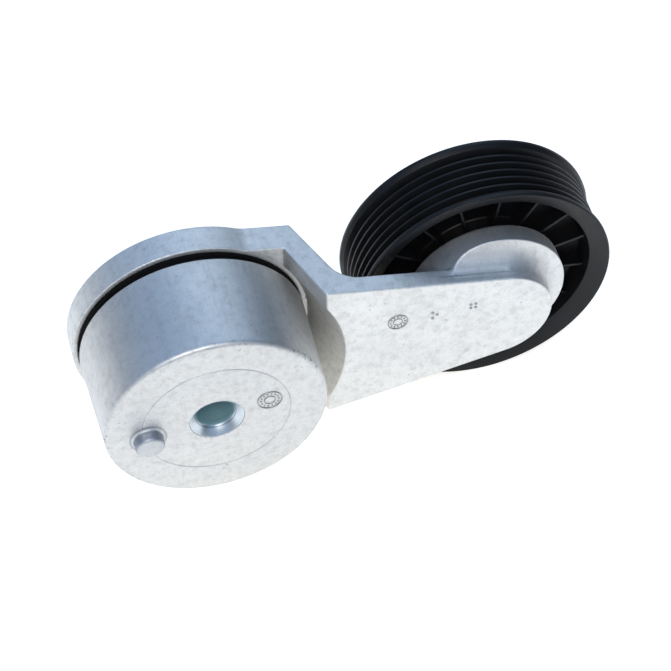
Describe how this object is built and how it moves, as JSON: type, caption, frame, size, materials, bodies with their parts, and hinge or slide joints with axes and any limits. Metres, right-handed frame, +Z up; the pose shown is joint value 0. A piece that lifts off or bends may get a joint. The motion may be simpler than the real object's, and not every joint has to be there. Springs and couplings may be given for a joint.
{
  "type": "belt tensioner idler",
  "caption": "Spring-loaded belt tensioner: round cast spring case, swinging cast arm with a stepped neck, and a ribbed black idler pulley on a ball bearing.",
  "frame": {"origin": "centre of the mounting bore, on the plane of the flat mounting face", "axes": "+Y along the pivot axis from the mounting face to the front, +X from the pivot axis to the pulley axis, +Z up"},
  "size_m": [0.1964, 0.0656, 0.0942],
  "materials": {
    "cast_aluminium_case": "die-cast, matt",
    "cast_aluminium_arm": "die-cast, matt",
    "bright_steel": "turned, bright",
    "plated_steel": "zinc plated",
    "spring_steel": "oil-tempered, dark",
    "white_nylon": "moulded",
    "bearing_plastic": "moulded, smooth",
    "friction_nylon": "moulded, matt",
    "seal_rubber": "moulded, matt",
    "bearing_steel": "ground and polished",
    "cage_steel": "pressed",
    "bolt_steel": "zinc plated, threaded",
    "pulley_nylon": "moulded, satin black"
  },
  "bodies": {
    "base": {"spring_case": "cast_aluminium_case", "pivot_tube": "bright_steel", "spring_seat": "white_nylon", "rear_thrust_washer": "bearing_plastic", "torsion_spring": "spring_steel", "front_thrust_washer": "bearing_plastic", "front_plate": "plated_steel"},
    "swing_arm": {"arm": "cast_aluminium_arm", "pivot_bushing": "bearing_plastic", "spring_sleeve": "white_nylon", "damper_backing": "plated_steel", "damper_shoe": "friction_nylon", "dust_seal": "seal_rubber", "rear_dust_shield": "plated_steel", "bearing_inner_race": "bearing_steel", "front_dust_shield": "plated_steel", "pulley_bolt": "bolt_steel"},
    "pulley_wheel": {"pulley": "pulley_nylon", "bearing_outer_race": "bearing_steel", "bearing_seal_rear": "seal_rubber", "bearing_seal_front": "seal_rubber"},
    "ball_set": {"bearing_balls": "bearing_steel", "bearing_cage": "cage_steel"}
  },
  "joints": [
    {"name": "arm_swing", "type": "hinge", "parent": "base", "child": "swing_arm", "pos_m": [0, 0.03, 0], "axis": [0, -1, 0], "range_deg": [0, 55], "stiffness_Nm_per_rad": 15, "springref_deg": -91.67, "deforming": ["torsion_spring"]},
    {"name": "pulley_spin", "type": "hinge", "parent": "swing_arm", "child": "pulley_wheel", "pos_m": [0.1065, 0.04584, 0], "axis": [0, 1, 0], "continuous": true},
    {"name": "ball_set_spin", "type": "hinge", "parent": "swing_arm", "child": "ball_set", "pos_m": [0.1065, 0.04584, 0], "axis": [0, 1, 0], "continuous": true}
  ],
  "couplings": [
    {"joint": "ball_set_spin", "follows": "pulley_spin", "ratio": 0.6158}
  ]
}
